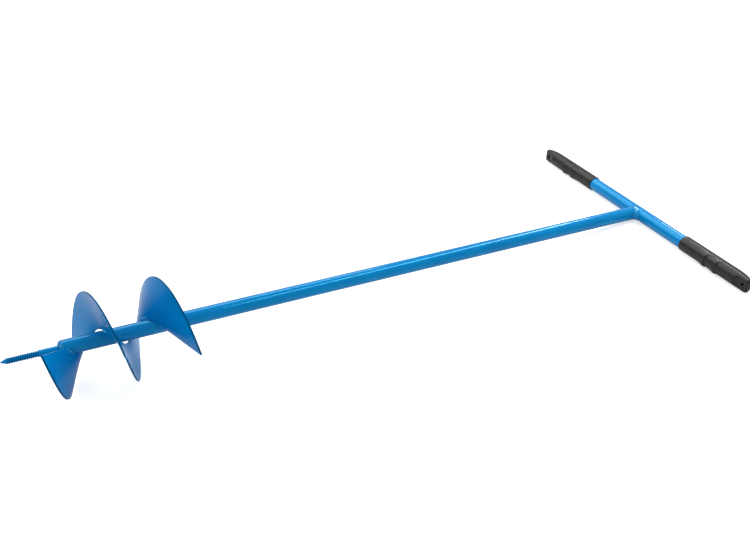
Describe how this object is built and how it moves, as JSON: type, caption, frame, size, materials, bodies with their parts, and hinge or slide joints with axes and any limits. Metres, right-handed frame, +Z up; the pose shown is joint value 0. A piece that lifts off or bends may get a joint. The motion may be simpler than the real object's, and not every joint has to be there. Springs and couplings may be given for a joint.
{
  "type": "post hole digger",
  "caption": "T-handled hand auger for post holes: tubular shaft and crossbar, moulded grips, pointed pilot screw and a right-hand spiral flight, lying on the ground",
  "frame": {"origin": "middle of the footprint, on the ground the tool lies on", "axes": "+Z up; +X runs from the point of the pilot screw to the handle, seen from above; +Y along the crossbar to the left grip. The shaft slopes down towards the handle by 3.65 degrees, because the tool rests on the rim of its flight and on its two grips."},
  "size_m": [1.0694, 0.532, 0.1413],
  "materials": {
    "blue_paint": "gloss enamel over steel",
    "black_grip": "soft moulded vinyl",
    "bare_steel": "turned, hidden inside the tube"
  },
  "bodies": {
    "root": {"shaft_tube": "blue_paint", "crossbar_tube": "blue_paint", "pilot_screw": "blue_paint", "lower_flight": "blue_paint", "upper_flight": "blue_paint", "nose_weld": "blue_paint", "seam_weld": "blue_paint", "leading_weld": "blue_paint", "lower_tack_weld": "blue_paint", "middle_tack_weld": "blue_paint", "upper_tack_weld": "blue_paint", "trailing_weld": "blue_paint", "handle_weld": "blue_paint", "nose_plug": "bare_steel", "left_grip": "black_grip", "right_grip": "black_grip"}
  },
  "joints": []
}
